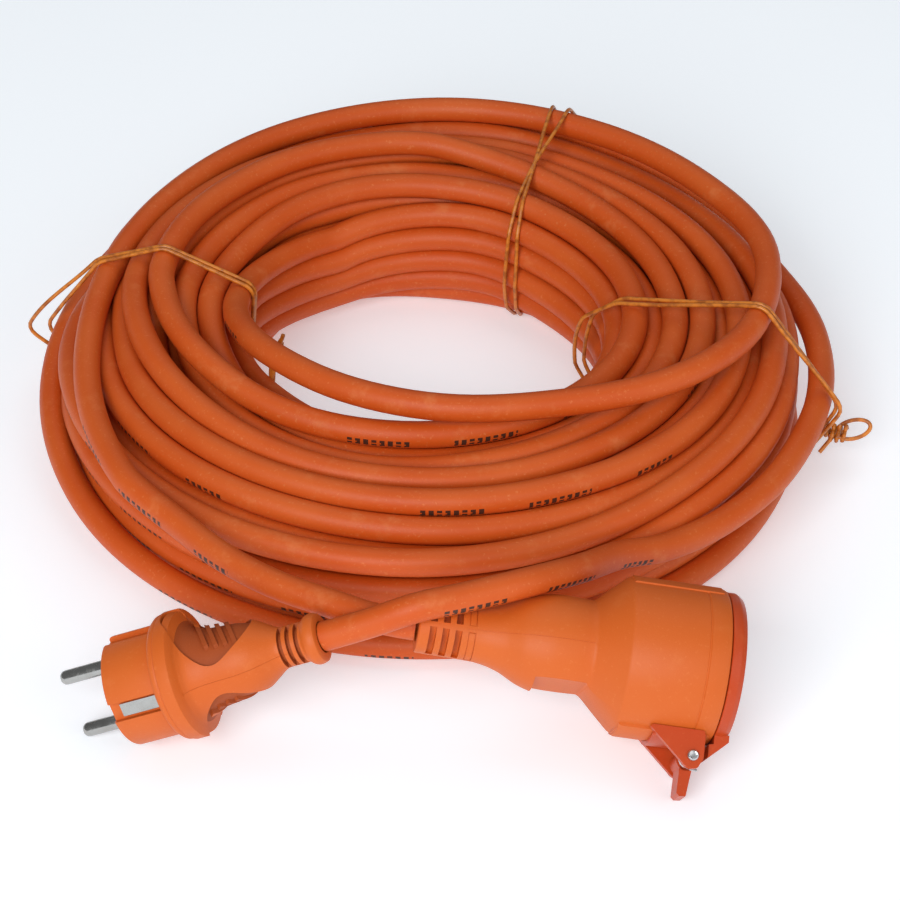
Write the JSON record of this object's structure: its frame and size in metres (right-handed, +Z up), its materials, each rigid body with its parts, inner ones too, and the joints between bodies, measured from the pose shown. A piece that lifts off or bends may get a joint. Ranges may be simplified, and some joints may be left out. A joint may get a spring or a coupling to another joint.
{
  "type": "extension cord",
  "caption": "Coiled outdoor extension cord held by three ties, with a moulded round plug and a coupler with a sprung lid.",
  "frame": {"origin": "middle of the footprint, on the surface the coil lies on", "axes": "+Z up out of the coil; +Y from the plug and coupler towards the back of the coil; +X towards the coupler"},
  "size_m": [0.2808, 0.3393, 0.0639],
  "materials": {
    "cable_rubber": "satin extruded rubber sheath, lightly scuffed",
    "tie_plastic": "translucent amber strip",
    "housing_rubber": "fine matt moulded rubber",
    "insert_plastic": "hard dark grey thermoplastic",
    "lid_plastic": "satin moulded thermoplastic",
    "nickel_brass": "nickel-plated brass",
    "contact_brass": "plain stamped brass",
    "spring_steel": "bright steel wire and rivet",
    "gasket_rubber": "soft black rubber",
    "core_brown": "smooth insulation",
    "core_blue": "smooth insulation",
    "core_earth": "smooth insulation, green with a yellow stripe"
  },
  "bodies": {
    "root": {"cable_coil": "cable_rubber", "plug_lead": "cable_rubber", "socket_lead": "cable_rubber", "tie_left": "tie_plastic", "tie_back": "tie_plastic", "tie_right": "tie_plastic", "plug_body": "housing_rubber", "socket_housing": "housing_rubber", "plug_bridge": "insert_plastic", "socket_block": "insert_plastic", "hinge_bracket": "lid_plastic", "plug_pin_left": "nickel_brass", "plug_pin_right": "nickel_brass", "plug_earth_strap": "nickel_brass", "socket_contact_left": "contact_brass", "socket_contact_right": "contact_brass", "socket_earth_bridge": "contact_brass", "hinge_pin": "spring_steel", "lid_spring": "spring_steel", "plug_core_brown": "core_brown", "socket_core_brown": "core_brown", "plug_core_blue": "core_blue", "socket_core_blue": "core_blue", "plug_core_earth": "core_earth", "socket_core_earth": "core_earth"},
    "lid": {"lid": "lid_plastic", "lid_gasket": "gasket_rubber"}
  },
  "joints": [
    {"name": "lid_hinge", "type": "hinge", "parent": "root", "child": "lid", "pos_m": [0.07362, -0.15931, 0.01218], "axis": [-0.1325, 0.5883, -0.7977], "range_deg": [0, 95], "stiffness_Nm_per_rad": 0.02, "springref_deg": -34.38}
  ]
}
